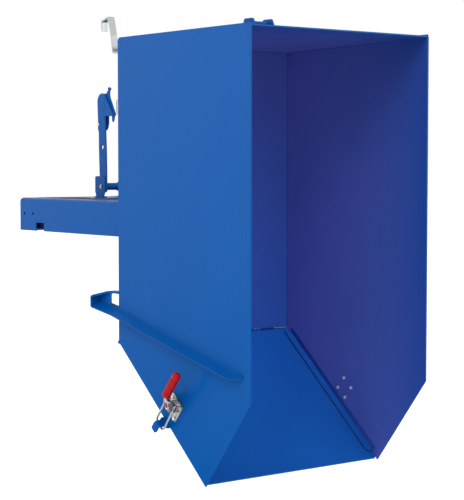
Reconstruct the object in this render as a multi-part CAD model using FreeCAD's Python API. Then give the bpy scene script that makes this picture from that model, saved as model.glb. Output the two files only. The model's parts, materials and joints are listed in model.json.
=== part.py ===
"""Self-tipping forklift container with a clamped front flap, shown tipped forward by 90 degrees.

Millimetres, +Z up, +X across the container, +Y from the container towards the forklift.
The origin is midway between the two fork pockets, at their rear mouths, level with the
pocket roofs that rest on the forks.  Every node is written at its place in the tipped pose.
"""
import FreeCAD, Part
import math
import os

V = FreeCAD.Vector

# ---------------------------------------------------------------- driving dimensions
# Container, measured outside its sheet.
BOX_WIDTH = 850.0
BOX_DEPTH = 836.0            # opening edge to floor
FLOOR_LENGTH = 1184.0        # rear wall to the flap hinge, along the floor
OPENING_LENGTH = 1319.0      # rear wall to the start of the chamfered tip, along the opening
TIP_LENGTH = 1660.0          # rear wall to the pouring tip
TIP_SETBACK = 266.0          # pouring tip behind the opening plane
SHEET = 4.0
REAR_INSET = (5.0, 18.0)     # rear wall below the side walls' ends, at the opening and at the floor
REAR_SHEET = 5.0
FLOOR_INSET = 2.0            # floor inside the side walls' edges
SIDE_CORNER_R = 16.0
RIM_WIDTH = 38.0
RIM_THICK = 3.0

# Fork frame.
FRAME_LENGTH = 942.0
FRAME_GAP = 3.0              # front end of the frame to the floor when tipped
FRAME_HEIGHT = 142.0
FRAME_OUTER_X = 325.0
POCKET_WIDTH = 200.0
FRAME_SHEET = 5.0
POCKET_BEND_R = 18.0
FRONT_BEVEL = 4.0            # off the pockets' front upper edge, clear of the turning floor
TOP_TO_FRAME = 638.0         # side walls' upper ends above the frame's top
STRAP = (60.0, 6.0)          # flat bars that close the pockets underneath
NOTCH = (69.0, 36.0)         # slot in the outer lower edge, length and height
NOTCH_FROM_REAR = 135.0
GUARD_DEPTH = 24.0           # box inside the pocket behind that slot and the lock holes
LOCK_HOLE_R = 6.5
LOCK_HOLES_FROM_REAR = (36.0, 109.0)
LOCK_HOLE_DROP = 68.0

# Tilt pivot, measured behind the floor and below the frame's top.
PIVOT_BACK = 16.0
PIVOT_DROP = 14.0
PIVOT_R = 10.0
RUNNING = 0.05               # radial clearance of every turning joint
EAR_X = 108.0
EAR_THICK = 10.0

# Latch, measured behind the floor and above the frame's top.
LATCH_BACK = 771.0
LATCH_RISE = 48.0
LATCH_BOLT_R = 6.0
POST_THICK = 8.0
CHEEK_X = (14.0, 19.0)       # the head's second plate, across the latch
PAWL_X = (5.5, 13.5)
HEAD_BOLT = (801.0, 313.0)   # behind the floor, below the side walls' upper ends
HEAD_BOLT_R = 4.0
POST_HOLE = (776.0, 415.0)
POST_HOLE_R = 10.5
PAWL_PIN = (748.0, 208.0)
PAWL_PIN_R = 4.0
ROPE_EYE = (733.0, 158.4)
ROPE_EYE_R = 4.5
BRACKET_X = (-12.0, 121.0)   # outer faces of the bracket's two cheeks
STOP_DROP = 8.0              # stop screw below the latch pivot
STOP_TIP = 797.0
SPRING_X = 78.0
BAR_R = 9.0
BAR_RISE = 348.0             # catch bar above the frame's top when the box is upright
BAR_BACK = 720.0             # and behind the floor plane of the tipped box
LUG_X = 46.0
LUG_THICK = 8.0

# Flap, its hinge and the sealing angles; distances along the flap start at its upper edge.
FLAP_GAP = 3.0
FLAP_PROUD = 0.1             # flap outside the side walls' edges
HINGE_ROD_R = 4.0
KNUCKLE_R = 7.0
KNUCKLE_COUNT = 7
KNUCKLE_LENGTH = 68.0
KNUCKLE_FROM_WALL = 102.0
LEAF = (34.0, 3.0)           # length and thickness of a knuckle's leaf
FLOOR_END = 4.7              # floor's lower edge above the hinge axis, between knuckles
FLAP_START = 5.2
SEAL_START = 30.0
SEAL_END = 703.0
SEAL_LEG = 32.0
SEAL_RISE = 33.0
SEAL_CORNER_R = 22.0
STUD_PLACES = (105.0, 312.0, 520.0, 700.0)

# Toggle clamps on the side walls.
CLAMP_ALONG_FLAP = 423.0
CLAMP_ABOVE_FLAP = 79.0
CLAMP_BOLT_PITCH = 56.0
CLAMP_BOLT_R = 4.0
HANDLE_PIVOT = (-14.0, 36.0)     # towards the flap, out from the wall
BAIL_PIVOT = (-30.0, 30.0)
TAB_PIVOT = (-22.0, 51.5)
TAB_T = 8.0
GRIP_START = -75.0
GRIP_LENGTH = 119.0
GRIP_R = 16.5
GRIP_HEIGHT = 72.0
TANG_END = -100.0
BAIL_HALF_WIDTH = 28.5
BAIL_R = 4.0
BAIL_REACH = 91.0
BAIL_END_HEIGHT = 27.0

# Rope hook.
ROPE_HOOK_X = (-417.0, -389.0)
ROPE_HOOK_BOLT_DROP = 90.0

# Side ribs that run down into the front legs.
RIB_SLOPE = math.radians(12.54)
RIB_START = 1053.0           # below the side walls' upper ends, at the floor
RIB_WIDTH = 41.0
RIB_TILT = math.radians(25.0)
RIB_THICK = 4.0
RIB_END_LENGTH = 70.0
RIB_END_STEPS = 12
LEG_LENGTH = 143.0
LEG_TOP_DROP = 987.0
LEG_SOLE_DROP = 1008.0
LEG_FLANGE = 8.0

# ---------------------------------------------------------------- derived places
HALF = BOX_WIDTH / 2
FRAME_TOP = FRAME_SHEET
TOP = FRAME_TOP + TOP_TO_FRAME
FLOOR_Y = -(FRAME_LENGTH + FRAME_GAP)
OPEN_Y = FLOOR_Y - BOX_DEPTH
FRAME_BOTTOM = FRAME_TOP - FRAME_HEIGHT
INNER = HALF - SHEET

HINGE_CORNER = V(0, FLOOR_Y, TOP - FLOOR_LENGTH)
TIP = V(0, OPEN_Y + TIP_SETBACK, TOP - TIP_LENGTH)
ALONG = (TIP - HINGE_CORNER).normalize()
OUTWARD = V(0, -ALONG.z, ALONG.y)
FLAP_LENGTH = (TIP - HINGE_CORNER).Length
PIVOT = V(0, FLOOR_Y + PIVOT_BACK, FRAME_TOP - PIVOT_DROP)
LATCH_PIVOT = V(0, FLOOR_Y + LATCH_BACK, FRAME_TOP + LATCH_RISE)


# ---------------------------------------------------------------- small helpers
def block(x0, x1, y0, y1, z0, z1):
    """A box between two corners."""
    return Part.makeBox(x1 - x0, y1 - y0, z1 - z0, V(x0, y0, z0))


def polygon(points):
    """A planar face through the points."""
    return Part.Face(Part.makePolygon(list(points) + [points[0]]))


def prism_x(outline, x0, x1):
    """An outline of (y, z) points carried from x0 to x1."""
    return polygon([V(x0, y, z) for y, z in outline]).extrude(V(x1 - x0, 0, 0))


def rod(start, end, radius):
    """A round bar between two points."""
    axis = end - start
    return Part.makeCylinder(radius, axis.Length, start, axis)


def rod_x(x0, x1, y, z, radius):
    """A round bar along X."""
    return rod(V(x0, y, z), V(x1, y, z), radius)


def fuse(shapes):
    """One solid from touching or overlapping shapes."""
    body = shapes[0]
    for other in shapes[1:]:
        body = body.fuse(other)
    return body.removeSplitter()


def group(shapes):
    """Several separate solids kept in one node."""
    return Part.makeCompound(shapes)


def cut(body, tools):
    """The body with each tool taken away."""
    for tool in tools:
        body = body.cut(tool)
    return body


def mirrored(shape):
    """The same shape on the other side of the container."""
    return shape.mirror(V(0, 0, 0), V(1, 0, 0))


def both_sides(shape):
    """A piece and its mirror image in one node."""
    return group([shape, mirrored(shape)])


def edges_along(shape, direction, length):
    """Straight edges that run along a direction for at least a length."""
    found = []
    for edge in shape.Edges:
        if len(edge.Vertexes) == 2 and edge.Length >= length:
            run = (edge.Vertexes[1].Point - edge.Vertexes[0].Point).normalize()
            if abs(abs(run.dot(direction)) - 1) < 1e-6:
                found.append(edge)
    return found


def rounded(shape, direction, radius, length=0.5):
    """The shape with its edges along a direction rounded."""
    return shape.makeFillet(radius, edges_along(shape, direction, length))


def hex_head(base, axis, across, height):
    """A hexagon bolt head or nut standing on a point."""
    radius = across / math.sqrt(3)
    turns = [math.radians(60 * k) for k in range(6)]
    blank = polygon([V(radius * math.cos(a), radius * math.sin(a), 0) for a in turns])
    head = blank.extrude(V(0, 0, height))
    cone = Part.makeCone(radius + height * 0.9, radius * 0.86, height, V(0, 0, 0), V(0, 0, 1))
    head = head.common(cone)
    head.Placement = FreeCAD.Placement(base, FreeCAD.Rotation(V(0, 0, 1), axis))
    return head


def placed(shape, origin, axis_x, axis_y, axis_z):
    """A shape built in local axes, carried to its place."""
    matrix = FreeCAD.Matrix(
        axis_x.x, axis_y.x, axis_z.x, origin.x,
        axis_x.y, axis_y.y, axis_z.y, origin.y,
        axis_x.z, axis_y.z, axis_z.z, origin.z,
        0, 0, 0, 1)
    copy = shape.copy()
    copy.Placement = FreeCAD.Placement(matrix).multiply(copy.Placement)
    return copy


def on_flap(shape):
    """From flap axes (along the flap, across it, outward) to the model."""
    return placed(shape, HINGE_CORNER, ALONG, V(-1, 0, 0), OUTWARD)


def behind(distance):
    """The Y of a plane that lies this far behind the floor."""
    return FLOOR_Y + distance


def above(rise):
    """The Z of a level this far above the frame's top."""
    return FRAME_TOP + rise


def at(distance, drop):
    """The (y, z) of a point behind the floor and below the side walls' upper ends."""
    return FLOOR_Y + distance, TOP - drop


def rod_at(x0, x1, place, radius):
    """A round bar along X at a (distance, drop) place."""
    return rod_x(x0, x1, *at(*place), radius)


# ---------------------------------------------------------------- container body
def side_outline():
    """The side wall's outline, five corners."""
    return [(FLOOR_Y, TOP), (OPEN_Y, TOP), (OPEN_Y, TOP - OPENING_LENGTH), (TIP.y, TIP.z),
            (FLOOR_Y, TOP - FLOOR_LENGTH)]


def clamp_origin():
    """Where a clamp's base sits on the left wall's outer face."""
    return HINGE_CORNER + ALONG * CLAMP_ALONG_FLAP - OUTWARD * CLAMP_ABOVE_FLAP + V(-HALF, 0, 0)


def in_clamp(shape):
    """From clamp axes (towards the flap, down the flap, out from the wall) to the model."""
    return placed(shape, clamp_origin(), OUTWARD, ALONG, V(-1, 0, 0))


def clamp_bolt_places():
    """The four bolt centres of a clamp base in clamp axes."""
    reach = CLAMP_BOLT_PITCH / 2
    return [(u, t) for u in (-reach, reach) for t in (-reach, reach)]


def side_wall():
    """Left side wall with a lobe for the hinge rod and holes for the clamp bolts."""
    wall = prism_x(side_outline(), -HALF, -INNER)
    upper = [e for e in edges_along(wall, V(1, 0, 0), 1) if e.Vertexes[0].Z > TOP - 1]
    wall = wall.makeFillet(SIDE_CORNER_R, [e for e in upper if e.Vertexes[0].Y > FLOOR_Y - 1])
    axis = HINGE_CORNER
    wall = fuse([wall, rod_x(-HALF, -INNER, axis.y, axis.z, KNUCKLE_R)])
    holes = [rod_x(-HALF - 1, -INNER + 1, axis.y, axis.z, HINGE_ROD_R)]
    for u, t in clamp_bolt_places():
        hole = Part.makeCylinder(CLAMP_BOLT_R, SHEET + 2, V(u, t, -SHEET - 1))
        holes.append(in_clamp(hole))
    return cut(wall, holes)


def knuckle_notches(y0, y1, z0, z1):
    """Blocks that clear the knuckles, in axes across the container."""
    half = KNUCKLE_LENGTH / 2 + 2
    return [block(centre - half, centre + half, y0, y1, z0, z1) for centre in knuckle_places()]


def rear_face(y):
    """The Z of the rear wall's outer face at a depth."""
    share = (y - OPEN_Y) / BOX_DEPTH
    return TOP - REAR_INSET[0] - (REAR_INSET[1] - REAR_INSET[0]) * share


def floor_panel():
    """The floor, between the side walls, notched for the knuckles."""
    outer = FLOOR_Y - FLOOR_INSET
    bottom = HINGE_CORNER.z + FLOOR_END
    panel = block(-INNER, INNER, outer - SHEET, outer, bottom, rear_face(outer) - REAR_SHEET)
    clear = HINGE_CORNER.z + KNUCKLE_R + 0.1
    return cut(panel, knuckle_notches(outer - SHEET - 1, outer + 1, bottom - 1, clear))


def rear_panel():
    """The rear wall, set below the side walls' ends and falling towards the floor."""
    near, far = OPEN_Y + FLOOR_INSET, FLOOR_Y - FLOOR_INSET
    return prism_x([(near, rear_face(near)), (far, rear_face(far)), (far, rear_face(far) - REAR_SHEET),
                    (near, rear_face(near) - REAR_SHEET)], -INNER, INNER)


def rim_strip():
    """Flat bar that stiffens the opening edge of the left wall, with a bevelled inner edge."""
    outline = [(-HALF, OPEN_Y), (-HALF - RIM_THICK, OPEN_Y), (-HALF - RIM_THICK, OPEN_Y + RIM_WIDTH - 3),
               (-HALF, OPEN_Y + RIM_WIDTH)]
    face = polygon([V(x, y, TOP - OPENING_LENGTH + 2) for x, y in outline])
    return face.extrude(V(0, 0, OPENING_LENGTH - 10))


def rib_plane(back, out):
    """A point of the rib's upper face, this far behind the floor and out from the wall."""
    slope = math.tan(RIB_SLOPE) if back < 0 else 0.15
    rise = back * slope - out * math.tan(RIB_TILT)
    return V(-HALF - out, behind(back), TOP - RIB_START + rise)


def sheet(points, thick):
    """A flat plate hanging down from a planar outline."""
    return polygon(points).extrude(V(0, 0, -thick))


def rib():
    """The stiffening flange on the left wall, its free end rounded back to the wall."""
    end = -(BOX_DEPTH - RIM_WIDTH - 1)
    outline = [rib_plane(0, 0), rib_plane(0, RIB_WIDTH)]
    for step in range(RIB_END_STEPS + 1):
        turn = math.pi / 2 * step / RIB_END_STEPS
        back = end + RIB_END_LENGTH * (1 - math.sin(turn))
        outline.append(rib_plane(back, RIB_WIDTH * math.cos(turn)))
    return sheet(outline, RIB_THICK)


def leg():
    """The left front leg: sole, web and two flanges folded from one strip."""
    wide = LEG_LENGTH - 5
    foot = sheet([rib_plane(0.01, 0), rib_plane(wide, 0), rib_plane(wide, RIB_WIDTH),
                  rib_plane(0.01, RIB_WIDTH)], RIB_THICK)
    top_z = TOP - LEG_TOP_DROP
    sole_top = TOP - LEG_SOLE_DROP
    roof = prism_x([(behind(0), top_z), (behind(69), top_z), (behind(wide), sole_top),
                    (behind(wide), sole_top - LEG_FLANGE), (behind(67), top_z - LEG_FLANGE),
                    (behind(0), top_z - LEG_FLANGE)], -HALF - RIB_WIDTH, -HALF + 30)
    slant = polygon([V(-HALF - RIB_WIDTH - 5, behind(-5), top_z + 5),
                     V(-HALF - 2, behind(-5), top_z + 5), V(-HALF - 2, behind(62), top_z + 5),
                     V(-HALF - RIB_WIDTH + 4, behind(118), top_z + 5),
                     V(-HALF - RIB_WIDTH - 5, behind(118), top_z + 5)]).extrude(V(0, 0, -60))
    roof = roof.cut(slant)
    web = prism_x([(behind(57), top_z - 5), (behind(67), top_z - 5), (behind(wide), sole_top - 5),
                   (behind(wide), rib_plane(wide, 0).z), (behind(57), rib_plane(57, 0).z)],
                  -HALF, -HALF + 5)
    shelf = prism_x([(behind(0.01), rib_plane(0.01, 0).z), (behind(wide), rib_plane(wide, 0).z),
                     (behind(wide), rib_plane(wide, 0).z - 5), (behind(0.01), rib_plane(0.01, 0).z - 5)],
                    -HALF, -HALF + 30)
    low = rib_plane(wide, RIB_WIDTH).z - RIB_THICK
    sole = block(-HALF - RIB_WIDTH, -HALF + 30, behind(wide), behind(LEG_LENGTH), low, sole_top)
    sole = rounded(sole, V(0, 1, 0), 6.0)
    return fuse([foot, roof, web, shelf, sole])


def catch_lugs():
    """Two trapezium plates on the rear wall that carry the catch bar."""
    bar_y = PIVOT.y + PIVOT.z - above(BAR_RISE)
    tip = TOP + 71.0
    near, far = bar_y - 66, bar_y + 60
    outline = [(near, rear_face(near)), (bar_y - 26, tip - 12), (bar_y - 22, tip - 4), (bar_y - 17, tip),
               (bar_y + 27, tip), (bar_y + 33, tip - 4),
               (far, rear_face(far))]
    plate = prism_x(outline, LUG_X - LUG_THICK / 2, LUG_X + LUG_THICK / 2)
    place = catch_bar_place()
    hole = rod_x(LUG_X - LUG_THICK, LUG_X + LUG_THICK, place.y, place.z, BAR_R)
    return both_sides(plate.cut(hole))


def catch_bar_place():
    """The catch bar's centre while tipped; a quarter turn carries it under the latch head."""
    up_y = behind(BAR_BACK) - PIVOT.y
    up_z = above(BAR_RISE) - PIVOT.z
    return V(0, PIVOT.y - up_z, PIVOT.z + up_y)


def catch_bar():
    """Round bar through both lugs, welded outside."""
    place = catch_bar_place()
    reach = LUG_X + LUG_THICK / 2 + 3
    return rod_x(-reach, reach, place.y, place.z, BAR_R - 0.02)


def hinge_ears():
    """The ears on the floor that turn on the pivot shaft."""
    outline = [(FLOOR_Y - 2, PIVOT.z - 34), (FLOOR_Y - 2, PIVOT.z + 34),
               (PIVOT.y + 3, PIVOT.z + 16), (PIVOT.y + 13, PIVOT.z + 9), (PIVOT.y + 16, PIVOT.z),
               (PIVOT.y + 13, PIVOT.z - 9), (PIVOT.y + 3, PIVOT.z - 16)]
    ear = prism_x(outline, EAR_X, EAR_X + EAR_THICK)
    hole = rod_x(EAR_X - 1, EAR_X + EAR_THICK + 1, PIVOT.y, PIVOT.z, PIVOT_R + RUNNING)
    return both_sides(ear.cut(hole))


# ---------------------------------------------------------------- flap and its seal
def knuckle_places():
    """Centres of the hinge knuckles across the flap."""
    reach = INNER - KNUCKLE_FROM_WALL
    return [-reach + 2 * reach * k / (KNUCKLE_COUNT - 1) for k in range(KNUCKLE_COUNT)]


def knuckle(centre, leaf):
    """One knuckle with its welded leaf, bored for the rod."""
    axis = HINGE_CORNER
    half = KNUCKLE_LENGTH / 2
    tube = rod_x(centre - half, centre + half, axis.y, axis.z, KNUCKLE_R)
    bore = rod_x(centre - half - 1, centre + half + 1, axis.y, axis.z, HINGE_ROD_R + RUNNING)
    return fuse([tube, leaf]).cut(bore)


def floor_knuckles():
    """Knuckles on leaves that are welded behind the floor's lower edge."""
    half = KNUCKLE_LENGTH / 2
    outer = FLOOR_Y - FLOOR_INSET
    made = []
    for centre in knuckle_places()[0::2]:
        leaf = block(centre - half, centre + half, outer, outer + LEAF[1],
                     HINGE_CORNER.z, HINGE_CORNER.z + LEAF[0])
        made.append(knuckle(centre, leaf))
    return group(made)


def flap_knuckles():
    """Knuckles on leaves that are welded under the flap's upper edge."""
    half = KNUCKLE_LENGTH / 2
    made = []
    for centre in knuckle_places()[1::2]:
        leaf = on_flap(block(0, LEAF[0], -centre - half, -centre + half, FLAP_PROUD, FLAP_PROUD + LEAF[1]))
        made.append(knuckle(centre, leaf))
    return group(made)


def hinge_rod():
    """The rod through the knuckles, fixed in both side walls."""
    axis = HINGE_CORNER
    return rod_x(-HALF, HALF, axis.y, axis.z, HINGE_ROD_R)


def flap_panel():
    """The flap, notched for the knuckles and stopped short of the tip."""
    reach = INNER - FLAP_GAP
    plate = block(FLAP_START, FLAP_LENGTH - 10, -reach, reach, FLAP_PROUD - SHEET, FLAP_PROUD)
    low = [e for e in edges_along(plate, V(0, 0, 1), 0.5) if e.Vertexes[0].X > FLAP_LENGTH - 11]
    plate = plate.makeFillet(6.0, low)
    half = KNUCKLE_LENGTH / 2 + 2
    notches = [block(FLAP_START - 1, KNUCKLE_R + 0.1, centre - half, centre + half,
                     FLAP_PROUD - SHEET - 1, FLAP_PROUD + 1) for centre in knuckle_places()]
    return on_flap(cut(plate, notches))


def flap_lip():
    """The flat bar under the flap's pouring edge."""
    reach = INNER - FLAP_GAP - 1
    strip = block(FLAP_LENGTH - 50, FLAP_LENGTH - 10, -reach, reach, FLAP_PROUD, FLAP_PROUD + 5)
    return on_flap(rounded(strip, V(0, 1, 0), 1.5, 100.0))


def seal_angle():
    """The angle inside the left wall that the flap closes against."""
    wall_leg = block(SEAL_START, SEAL_END, INNER - 3, INNER, -SEAL_RISE, -10)
    flap_leg = block(SEAL_START, SEAL_END, INNER - SEAL_LEG, INNER, -13, -10)
    corner = [e for e in edges_along(flap_leg, V(0, 0, 1), 1)
              if e.Vertexes[0].X > SEAL_END - 1 and e.Vertexes[0].Y < INNER - SEAL_LEG + 1]
    flap_leg = flap_leg.makeFillet(SEAL_CORNER_R, corner)
    return on_flap(fuse([wall_leg, flap_leg]))


def seal_rubber():
    """The rubber strip between the angle and the flap."""
    strip = block(SEAL_START, SEAL_END - SEAL_CORNER_R, INNER - SEAL_LEG + 6, INNER - 3,
                  -10, FLAP_PROUD - SHEET - 0.1)
    return on_flap(rounded(strip, V(1, 0, 0), 1.2, 100.0))


def seal_studs():
    """Round-headed studs through the angle's wall leg."""
    made = []
    for place in STUD_PLACES:
        head = Part.makeCylinder(5.0, 2.5, V(place, INNER - 5.5, -26), V(0, 1, 0))
        rim = [e for e in head.Edges if len(e.Vertexes) == 1 and e.CenterOfMass.y < INNER - 5]
        made.append(head.makeFillet(1.6, rim))
    return both_sides(on_flap(group(made)))


def flap_hook():
    """The hook on the flap's outer face that the bail pulls on."""
    lip_w = 46.0
    seat = CLAMP_ABOVE_FLAP + FLAP_PROUD
    outline = [(seat, -50), (seat + 6, -50), (seat + 6, 30), (seat + 8, 35), (seat + 13, 38),
               (seat + 37, 38), (seat + 40, 40), (seat + 41, 42), (seat + 40, 44), (seat + 37, lip_w),
               (seat + 10, lip_w), (seat + 3, 43), (seat, 38)]
    strip = polygon([V(u, -15, w) for u, w in outline]).extrude(V(0, 30, 0))
    strip = strip.common(rounded(block(seat - 12, seat + 41, -15, 15, -50, 50), V(0, 0, 1), 11.0))
    pad = block(seat, seat + 6, -26, 26, -50, 20)
    pad = rounded(pad, V(1, 0, 0), 14.0)
    return in_clamp(fuse([strip, pad]))


# ---------------------------------------------------------------- toggle clamps
def clamp_base():
    """Base plate with its two ears."""
    plate = rounded(block(-44, 36, -41, 41, 0, 4), V(0, 0, 1), 7.0)
    ears = []
    for side in (-17, 13):
        foot = polygon([V(-26, side, 2), V(8, side, 2), V(8, side, 20), V(-4, side, 34),
                        V(-24, side, 34), V(-24, side, 22)]).extrude(V(0, 4, 0))
        ears.append(foot)
        ears.append(Part.makeCylinder(10.5, 4, V(HANDLE_PIVOT[0], side, HANDLE_PIVOT[1]), V(0, 1, 0)))
    pin = Part.makeCylinder(5 + RUNNING, 60, V(HANDLE_PIVOT[0], -30, HANDLE_PIVOT[1]), V(0, 1, 0))
    holes = [Part.makeCylinder(CLAMP_BOLT_R + RUNNING, 10, V(u, t, -2)) for u, t in clamp_bolt_places()]
    return in_clamp(cut(fuse([plate] + ears), holes + [pin]))


def clamp_bolts():
    """Four bolts through the wall, with heads outside and nuts inside."""
    made = []
    for u, t in clamp_bolt_places():
        shank = Part.makeCylinder(CLAMP_BOLT_R, 4 + SHEET + 6, V(u, t, -SHEET - 8))
        head = hex_head(V(u, t, 4), V(0, 0, 1), 13.0, 5.3)
        nut = hex_head(V(u, t, -SHEET), V(0, 0, -1), 13.0, 6.5)
        made.append(in_clamp(fuse([shank.fuse(Part.makeCylinder(CLAMP_BOLT_R, 4, V(u, t, 2))), head, nut])))
    return both_sides(group(made))


def clamp_pivot_pins():
    """The pins that the handles turn on."""
    u, w = HANDLE_PIVOT
    pin = Part.makeCylinder(5.0, 44, V(u, -22, w), V(0, 1, 0))
    heads = [Part.makeCylinder(7.0, 1.4, V(u, -22.5, w), V(0, 1, 0)),
             Part.makeCylinder(7.0, 1.4, V(u, 21.1, w), V(0, 1, 0))]
    return both_sides(in_clamp(fuse([pin] + heads)))


def clamp_handle():
    """Channel that carries both pivots, and the flat tang of the grip."""
    u, w = HANDLE_PIVOT
    b_u, b_w = BAIL_PIVOT
    outline = [(-4, 30), (-6, 42), (-14, 45), (-50, 56), (-58, 54), (-58, 40), (-40, 22), (-22, 22)]
    cheeks = []
    for side in (-21, 18):
        cheeks.append(polygon([V(a, side, b) for a, b in outline]).extrude(V(0, 3, 0)))
    roof = polygon([V(a, -21, b) for a, b in
                    [(-26, 48.7), (-50, 56), (-58, 54), (-58, 50), (-50, 52), (-26, 44.7)]])
    roof = roof.extrude(V(0, 42, 0))
    tang = polygon([V(a, -11, b) for a, b in
                    [(-50, 53), (-66, 70), (TANG_END, 70), (TANG_END, 74), (-67, 74), (-50, 57)]])
    tang = tang.extrude(V(0, 22, 0))
    body = fuse(cheeks + [roof, tang])
    holes = [Part.makeCylinder(5 + RUNNING, 60, V(u, -30, w), V(0, 1, 0)),
             Part.makeCylinder(BAIL_R + RUNNING, 60, V(b_u, -30, b_w), V(0, 1, 0))]
    return in_clamp(cut(body, holes))


def clamp_grip():
    """Hand grip with a domed end, pushed over the tang."""
    radius, height = GRIP_R, GRIP_HEIGHT
    body = Part.makeCylinder(radius, GRIP_LENGTH - radius, V(GRIP_START, 0, height), V(-1, 0, 0))
    dome = Part.makeSphere(radius, V(GRIP_START - GRIP_LENGTH + radius, 0, height))
    body = fuse([body, dome])
    slot = block(TANG_END - 0.1, GRIP_START + 1, -11.1, 11.1, height - 2.1, height + 2.1)
    return in_clamp(body.cut(slot))


def clamp_lock_tab():
    """The safety tab on the handle's roof, with the hub it turns on."""
    u, w = TAB_PIVOT
    outline = [(u, w - 1.6), (-42, 57.5), (-46, 62), (-43, 64), (-38, 60.5), (u, w + 2.4)]
    arm = polygon([V(a, TAB_T, b) for a, b in outline]).extrude(V(0, 4, 0))
    hub = Part.makeCylinder(2.6, 4, V(u, TAB_T, w), V(0, 1, 0))
    return in_clamp(fuse([arm, hub]))


def clamp_trunnion():
    """The cross pin of the bail with its two end blocks."""
    b_u, b_w = BAIL_PIVOT
    pin = Part.makeCylinder(BAIL_R, 2 * (BAIL_HALF_WIDTH + 6), V(b_u, -BAIL_HALF_WIDTH - 6, b_w),
                            V(0, 1, 0))
    parts = [pin]
    for side in (-1, 1):
        start = V(b_u, side * 23.2, b_w)
        parts.append(Part.makeCylinder(7.0, 11.0, start, V(0, side, 0)))
    body = fuse(parts)
    legs = [rod(V(b_u - 20, side * BAIL_HALF_WIDTH, bail_height(b_u - 20)),
                V(b_u + 20, side * BAIL_HALF_WIDTH, bail_height(b_u + 20)), BAIL_R)
            for side in (-1, 1)]
    return group([in_clamp(cut(body, legs)), bail_nuts()])


def bail_height(u):
    """Height of the bail's legs above the wall at a place along the clamp."""
    share = (u - BAIL_PIVOT[0]) / (BAIL_REACH - BAIL_PIVOT[0])
    return BAIL_PIVOT[1] + (BAIL_END_HEIGHT - BAIL_PIVOT[1]) * share


def clamp_bail():
    """The U-shaped bail and the four nuts on its threaded legs."""
    bend = 14.0
    start = BAIL_PIVOT[0] - 17
    straight_end = BAIL_REACH - bend
    path = []
    corner_far = V(BAIL_REACH, 0, BAIL_END_HEIGHT)
    for side in (-1, 1):
        foot = V(start, side * BAIL_HALF_WIDTH, bail_height(start))
        shoulder = V(straight_end, side * BAIL_HALF_WIDTH, bail_height(straight_end))
        path.append((foot, shoulder))
    middle = BAIL_HALF_WIDTH - bend
    inset = bend * (1 - math.sqrt(0.5))
    arcs = []
    for side, (foot, shoulder) in zip((-1, 1), path):
        knee = V(BAIL_REACH - inset, side * (BAIL_HALF_WIDTH - inset), BAIL_END_HEIGHT)
        arcs.append(Part.Arc(shoulder, knee, V(corner_far.x, side * middle, corner_far.z)).toShape())
    cross = Part.makeLine(V(BAIL_REACH, -middle, BAIL_END_HEIGHT), V(BAIL_REACH, middle, BAIL_END_HEIGHT))
    spine = Part.Wire([Part.makeLine(*path[0]), arcs[0], cross, arcs[1],
                       Part.makeLine(path[1][1], path[1][0])])
    run = (path[0][1] - path[0][0]).normalize()
    circle = Part.Wire(Part.makeCircle(BAIL_R - 0.05, path[0][0], run))
    bail = spine.makePipeShell([circle], True, False)
    return in_clamp(bail)


def bail_nuts():
    """Nuts clamping each threaded leg to its trunnion block."""
    made = []
    b_u = BAIL_PIVOT[0]
    for side in (-1, 1):
        for place, way in ((b_u + 7.2, 1), (b_u - 7.2, -1)):
            base = V(place, side * BAIL_HALF_WIDTH, bail_height(place))
            nut = hex_head(base, V(way, 0, 0), 11.0, 5.0)
            bore = rod(base - V(way * 3, 0, 0), base + V(way * 9, 0, 0), BAIL_R + 0.3)
            made.append(nut.cut(bore))
    return in_clamp(group(made))


# ---------------------------------------------------------------- fork frame
def fork_pocket():
    """Left fork pocket, an inverted channel divided at its bends into six simple solids."""
    outer = -FRAME_OUTER_X
    inner = outer + POCKET_WIDTH
    bend_bottom = FRAME_TOP - POCKET_BEND_R
    bend_middle = inner - POCKET_BEND_R + (POCKET_BEND_R - FRAME_SHEET) * math.cos(math.pi / 4)
    shell = block(outer, inner, -FRAME_LENGTH, 0, FRAME_BOTTOM, FRAME_TOP)
    bends = [e for e in edges_along(shell, V(0, 1, 0), 100) if e.Vertexes[0].Z > FRAME_TOP - 1]
    shell = shell.makeFillet(POCKET_BEND_R, bends)
    hollow = block(outer + FRAME_SHEET, inner - FRAME_SHEET, -FRAME_LENGTH - 1, 1,
                   FRAME_BOTTOM - 1, 0)
    bends = [e for e in edges_along(hollow, V(0, 1, 0), 100) if e.Vertexes[0].Z > -1]
    hollow = hollow.makeFillet(POCKET_BEND_R - FRAME_SHEET, bends)
    notch = block(outer - 1, outer + FRAME_SHEET + 1, -NOTCH_FROM_REAR - NOTCH[0], -NOTCH_FROM_REAR,
                  FRAME_BOTTOM - 1, FRAME_BOTTOM + NOTCH[1])
    tools = [hollow, notch]
    for place in LOCK_HOLES_FROM_REAR:
        tools.append(rod_x(outer - 1, outer + FRAME_SHEET + 1, -place, FRAME_TOP - LOCK_HOLE_DROP,
                           LOCK_HOLE_R))
    tools.append(rod_x(inner - FRAME_SHEET - 1, inner + 1, PIVOT.y, PIVOT.z, PIVOT_R))
    front = -FRAME_LENGTH
    bevel = [(front - 1, FRAME_TOP - FRONT_BEVEL - 1), (front - 1, FRAME_TOP + 1),
             (front + FRONT_BEVEL + 1, FRAME_TOP + 1)]
    tools.append(prism_x(bevel, outer - 1, inner + 1))
    channel = cut(shell, tools)
    spans = [(outer, outer + POCKET_BEND_R, FRAME_BOTTOM, bend_bottom),
             (outer, outer + POCKET_BEND_R, bend_bottom, FRAME_TOP),
             (outer + POCKET_BEND_R, inner - POCKET_BEND_R, bend_bottom, FRAME_TOP),
             (inner - POCKET_BEND_R, bend_middle, bend_bottom, FRAME_TOP),
             (bend_middle, inner, bend_bottom, FRAME_TOP),
             (inner - POCKET_BEND_R, inner, FRAME_BOTTOM, bend_bottom)]
    return group([channel.common(block(x0, x1, front, 0, z0, z1)).Solids[0] for x0, x1, z0, z1 in spans])


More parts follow.
